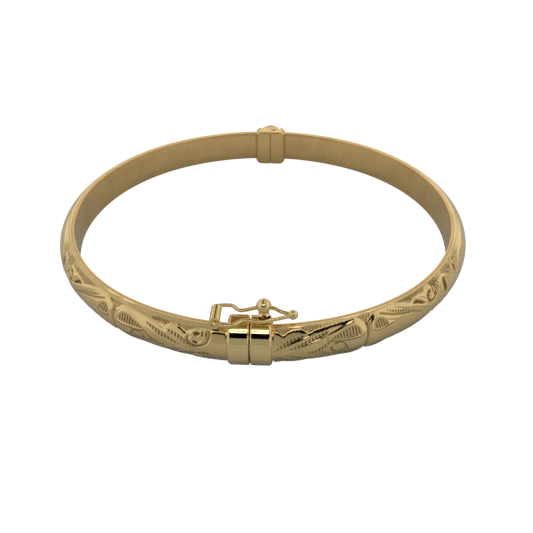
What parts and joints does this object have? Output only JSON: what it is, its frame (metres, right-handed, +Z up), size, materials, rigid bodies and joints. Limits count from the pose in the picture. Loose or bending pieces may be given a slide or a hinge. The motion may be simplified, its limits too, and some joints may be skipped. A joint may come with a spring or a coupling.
{
  "type": "hinged bangle bracelet",
  "caption": "Oval hinged bangle with a hollow domed embossed band, a box clasp with a thumb catch, a knuckle hinge and a figure-eight safety catch.",
  "frame": {"origin": "on the floor plane, under the middle of the oval, level with the undersides of the clasp and hinge blocks", "axes": "+X to the wearer's right across the long axis of the oval, -Y towards the clasp, +Y towards the hinge, +Z up out of the flat-lying bangle"},
  "size_m": [0.066, 0.063, 0.01],
  "materials": {
    "embossed_gold": "polished pale yellow gold, embossed relief, darker in the recesses",
    "liner_gold": "plain yellow gold, softly polished, fine wear scratches",
    "polished_gold": "high polish yellow gold",
    "spring_gold": "hard yellow gold, satin",
    "wire_gold": "polished round gold wire and balls"
  },
  "bodies": {
    "left_half": {"left_outer_shell": "embossed_gold", "left_inner_liner": "liner_gold", "clasp_box": "polished_gold", "box_catch_lip": "spring_gold", "left_hinge_block": "polished_gold", "hinge_knuckle_upper": "polished_gold", "hinge_knuckle_lower": "polished_gold", "hinge_pin": "spring_gold", "safety_pivot_tube": "wire_gold", "tube_saddle": "wire_gold"},
    "right_half": {"right_outer_shell": "embossed_gold", "right_inner_liner": "liner_gold", "tongue_block": "polished_gold", "tongue_lower_leaf": "spring_gold", "right_hinge_block": "polished_gold", "hinge_knuckle_centre": "polished_gold"},
    "thumb_catch": {"tongue_upper_leaf": "spring_gold", "thumb_post": "wire_gold", "thumb_ball": "wire_gold"},
    "safety_catch": {"safety_wire": "wire_gold", "safety_end_ball": "wire_gold"}
  },
  "joints": [
    {"name": "bangle_open", "type": "hinge", "parent": "left_half", "child": "right_half", "pos_m": [0, 0.02978, 0.0035], "axis": [0, 0, 1], "range_deg": [0, 70]},
    {"name": "tongue_press", "type": "hinge", "parent": "right_half", "child": "thumb_catch", "pos_m": [-0.0019, -0.0292, 0.0049], "axis": [0, 1, 0], "range_deg": [0, 7], "stiffness_Nm_per_rad": 0.09},
    {"name": "safety_swing", "type": "hinge", "parent": "left_half", "child": "safety_catch", "pos_m": [-0.0045, -0.028, 0.00735], "axis": [0, -1, 0], "range_deg": [0, 150]}
  ]
}
